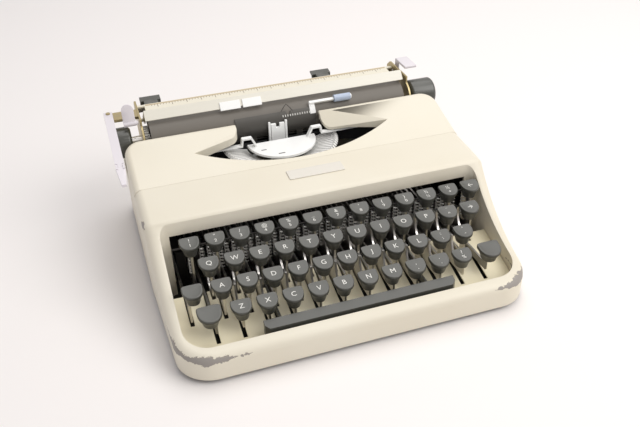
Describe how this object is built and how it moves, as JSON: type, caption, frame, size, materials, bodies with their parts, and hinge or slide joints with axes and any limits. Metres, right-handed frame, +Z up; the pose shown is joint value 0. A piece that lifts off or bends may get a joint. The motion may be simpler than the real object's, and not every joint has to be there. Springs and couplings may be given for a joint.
{
  "type": "portable typewriter",
  "caption": "Flat portable typewriter, open to type, with a sunk keyboard, a lift-off ribbon cover, a type basket and a sliding carriage with a platen.",
  "frame": {"origin": "centre of the object's box, on the surface that its feet stand on", "axes": "+X to the typist's right, +Y from the typist to the back, +Z up"},
  "size_m": [0.296, 0.264, 0.114],
  "materials": {
    "casing_paint": "satin cream enamel",
    "tray_paint": "satin enamel, a little yellower",
    "table_paint": "satin enamel",
    "dark_paint": "satin black",
    "feet_rubber": "dull",
    "plate_metal": "brushed",
    "steel": "bright",
    "passivated": "yellow passivated",
    "key_plastic": "dark green-grey, slightly glossy",
    "white_enamel": "bright white",
    "bright_plate": "plated",
    "lever_paint": "light grey",
    "roller_rubber": "dull black",
    "ribbon_cloth": "inked cloth",
    "spool_paint": "satin",
    "roller_plastic": "pale blue",
    "bell_metal": "bright"
  },
  "bodies": {
    "frame": {"upper_casing": "casing_paint", "keyboard_tray": "tray_paint", "bottom_plate": "dark_paint", "rubber_feet": "feet_rubber", "badge_plate": "plate_metal", "side_frames": "steel", "key_shaft": "steel", "lever_comb": "steel", "carriage_rail": "steel", "basket_posts": "steel", "typebar_guard": "white_enamel", "type_guide": "white_enamel", "card_plate": "dark_paint", "spool_cups": "dark_paint", "ribbon": "ribbon_cloth", "rear_brackets": "steel", "bell": "bell_metal", "card_roller_bracket": "white_enamel"},
    "number_row": {"keys_number_row": "key_plastic"},
    "top_row": {"keys_top_row": "key_plastic"},
    "home_row": {"keys_home_row": "key_plastic"},
    "bottom_row": {"keys_bottom_row": "key_plastic"},
    "first_key_body": {"first_key": "key_plastic"},
    "backspace": {"backspace_key": "key_plastic"},
    "margin_release": {"margin_release_key": "key_plastic"},
    "shift": {"shift_frame": "steel", "left_shift_key": "key_plastic", "right_shift_key": "key_plastic"},
    "shift_lock": {"shift_lock_key": "key_plastic"},
    "space": {"space_bar": "key_plastic"},
    "basket": {"type_segment": "steel", "typebars_left": "steel", "typebars_right": "steel"},
    "typebar": {"first_typebar": "steel"},
    "vibrator": {"ribbon_vibrator": "bright_plate"},
    "left_spool": {"left_ribbon_spool": "spool_paint"},
    "right_spool": {"right_ribbon_spool": "spool_paint"},
    "card_wheel": {"card_roller": "roller_plastic"},
    "cover": {"ribbon_cover": "casing_paint"},
    "mainspring": {"mainspring_drum": "steel"},
    "carriage": {"carriage_bed": "dark_paint", "left_end_plate": "passivated", "right_end_plate": "passivated", "paper_table": "table_paint", "paper_pan": "dark_paint", "margin_rail": "steel"},
    "feed": {"feed_roller": "roller_rubber"},
    "left_stop": {"left_margin_stop": "key_plastic"},
    "right_stop": {"right_margin_stop": "key_plastic"},
    "platen": {"platen_roller": "roller_rubber", "platen_shaft": "steel", "left_platen_knob": "key_plastic", "right_platen_knob": "key_plastic", "ratchet_wheel": "steel"},
    "return_arm": {"return_lever": "lever_paint"},
    "return_tip": {"return_lever_tip": "lever_paint"},
    "bail": {"paper_bail": "bright_plate", "bail_plates": "bright_plate"},
    "paper_release": {"paper_release_lever": "lever_paint"},
    "carriage_release": {"carriage_release_lever": "lever_paint"}
  },
  "joints": [
    {"name": "number_row_press", "type": "hinge", "parent": "frame", "child": "number_row", "pos_m": [0, 0.053, 0.016], "axis": [1, 0, 0], "range_deg": [0, 6], "stiffness_Nm_per_rad": 1.5, "springref_deg": -11.46},
    {"name": "top_row_press", "type": "hinge", "parent": "frame", "child": "top_row", "pos_m": [0, 0.053, 0.016], "axis": [1, 0, 0], "range_deg": [0, 5.3], "stiffness_Nm_per_rad": 1.5, "springref_deg": -11.46},
    {"name": "home_row_press", "type": "hinge", "parent": "frame", "child": "home_row", "pos_m": [0, 0.053, 0.016], "axis": [1, 0, 0], "range_deg": [0, 4.8], "stiffness_Nm_per_rad": 1.5, "springref_deg": -11.46},
    {"name": "bottom_row_press", "type": "hinge", "parent": "frame", "child": "bottom_row", "pos_m": [0, 0.053, 0.016], "axis": [1, 0, 0], "range_deg": [0, 4.4], "stiffness_Nm_per_rad": 1.5, "springref_deg": -11.46},
    {"name": "first_key_press", "type": "hinge", "parent": "frame", "child": "first_key_body", "pos_m": [0, 0.053, 0.016], "axis": [1, 0, 0], "range_deg": [0, 6], "stiffness_Nm_per_rad": 0.15, "springref_deg": -11.46},
    {"name": "backspace_press", "type": "hinge", "parent": "frame", "child": "backspace", "pos_m": [0, 0.053, 0.016], "axis": [1, 0, 0], "range_deg": [0, 6], "stiffness_Nm_per_rad": 0.15, "springref_deg": -11.46},
    {"name": "margin_release_press", "type": "hinge", "parent": "frame", "child": "margin_release", "pos_m": [0, 0.053, 0.016], "axis": [1, 0, 0], "range_deg": [0, 5.3], "stiffness_Nm_per_rad": 0.15, "springref_deg": -11.46},
    {"name": "shift_press", "type": "hinge", "parent": "frame", "child": "shift", "pos_m": [0, 0.053, 0.016], "axis": [1, 0, 0], "range_deg": [0, 4.4], "stiffness_Nm_per_rad": 1.5, "springref_deg": -11.46},
    {"name": "shift_lock_press", "type": "hinge", "parent": "frame", "child": "shift_lock", "pos_m": [0, 0.053, 0.016], "axis": [1, 0, 0], "range_deg": [0, 4.8], "stiffness_Nm_per_rad": 0.15, "springref_deg": -11.46},
    {"name": "space_press", "type": "hinge", "parent": "frame", "child": "space", "pos_m": [0, 0.053, 0.016], "axis": [1, 0, 0], "range_deg": [0, 1.6], "stiffness_Nm_per_rad": 1.5, "springref_deg": -11.46},
    {"name": "basket_drop", "type": "slide", "parent": "frame", "child": "basket", "axis": [0, 0, 1], "range_m": [-0.0061, 0], "stiffness_N_per_m": 150, "springref_m": 0.006},
    {"name": "typebar_swing", "type": "hinge", "parent": "basket", "child": "typebar", "pos_m": [-0.02, 0.0635, 0.034], "axis": [0, 1, 0], "range_deg": [0, 60.6]},
    {"name": "vibrator_lift", "type": "slide", "parent": "frame", "child": "vibrator", "axis": [0, 0, 1], "range_m": [0, 0.0091]},
    {"name": "left_spool_turn", "type": "hinge", "parent": "frame", "child": "left_spool", "pos_m": [-0.097, 0.038, 0.063], "axis": [0, 0, 1], "continuous": true},
    {"name": "right_spool_turn", "type": "hinge", "parent": "frame", "child": "right_spool", "pos_m": [0.097, 0.038, 0.063], "axis": [0, 0, 1], "continuous": true},
    {"name": "card_wheel_turn", "type": "hinge", "parent": "frame", "child": "card_wheel", "pos_m": [0.0545, 0.07347, 0.09494], "axis": [1, 0, 0], "continuous": true},
    {"name": "cover_lift", "type": "slide", "parent": "frame", "child": "cover", "axis": [0, 0, 1], "range_m": [0, 0.04]},
    {"name": "mainspring_turn", "type": "hinge", "parent": "frame", "child": "mainspring", "pos_m": [-0.104, 0.111, 0.034], "axis": [0, 1, 0], "range_deg": [-330, 330]},
    {"name": "carriage_slide", "type": "slide", "parent": "frame", "child": "carriage", "axis": [1, 0, 0], "range_m": [-0.1, 0.1]},
    {"name": "platen_turn", "type": "hinge", "parent": "carriage", "child": "platen", "pos_m": [0, 0.086, 0.08], "axis": [1, 0, 0], "continuous": true},
    {"name": "feed_turn", "type": "hinge", "parent": "carriage", "child": "feed", "pos_m": [0, 0.10232, 0.06631], "axis": [1, 0, 0], "continuous": true},
    {"name": "left_stop_slide", "type": "slide", "parent": "carriage", "child": "left_stop", "axis": [1, 0, 0], "range_m": [-0.004, 0.09]},
    {"name": "right_stop_slide", "type": "slide", "parent": "carriage", "child": "right_stop", "axis": [1, 0, 0], "range_m": [-0.045, 0.055]},
    {"name": "return_swing", "type": "hinge", "parent": "carriage", "child": "return_arm", "pos_m": [-0.1445, 0.096, 0.102], "axis": [0, 0, 1], "range_deg": [0, 22], "stiffness_Nm_per_rad": 0.05, "springref_deg": -5.73},
    {"name": "return_tip_fold", "type": "hinge", "parent": "return_arm", "child": "return_tip", "pos_m": [-0.1445, 0.02, 0.09465], "axis": [-1, 0, 0], "range_deg": [0, 75]},
    {"name": "bail_lift", "type": "hinge", "parent": "carriage", "child": "bail", "pos_m": [0, 0.106, 0.088], "axis": [-1, 0, 0], "range_deg": [0, 60]},
    {"name": "paper_release_pull", "type": "hinge", "parent": "carriage", "child": "paper_release", "pos_m": [-0.125, 0.0835, 0.0975], "axis": [1, 0, 0], "range_deg": [0, 35]},
    {"name": "carriage_release_press", "type": "hinge", "parent": "carriage", "child": "carriage_release", "pos_m": [0.124, 0.111, 0.095], "axis": [1, 0, 0], "range_deg": [0, 15], "stiffness_Nm_per_rad": 0.05, "springref_deg": -11.46}
  ],
  "couplings": [
    {"joint": "typebar_swing", "follows": "first_key_press", "ratio": 10.06},
    {"joint": "vibrator_lift", "follows": "first_key_press", "m_per_rad": 0.086},
    {"joint": "basket_drop", "follows": "shift_press", "m_per_rad": -0.079},
    {"joint": "right_spool_turn", "follows": "left_spool_turn", "ratio": 1},
    {"joint": "mainspring_turn", "follows": "carriage_slide", "rad_per_m": 55.6},
    {"joint": "feed_turn", "follows": "platen_turn", "ratio": -3.2}
  ]
}
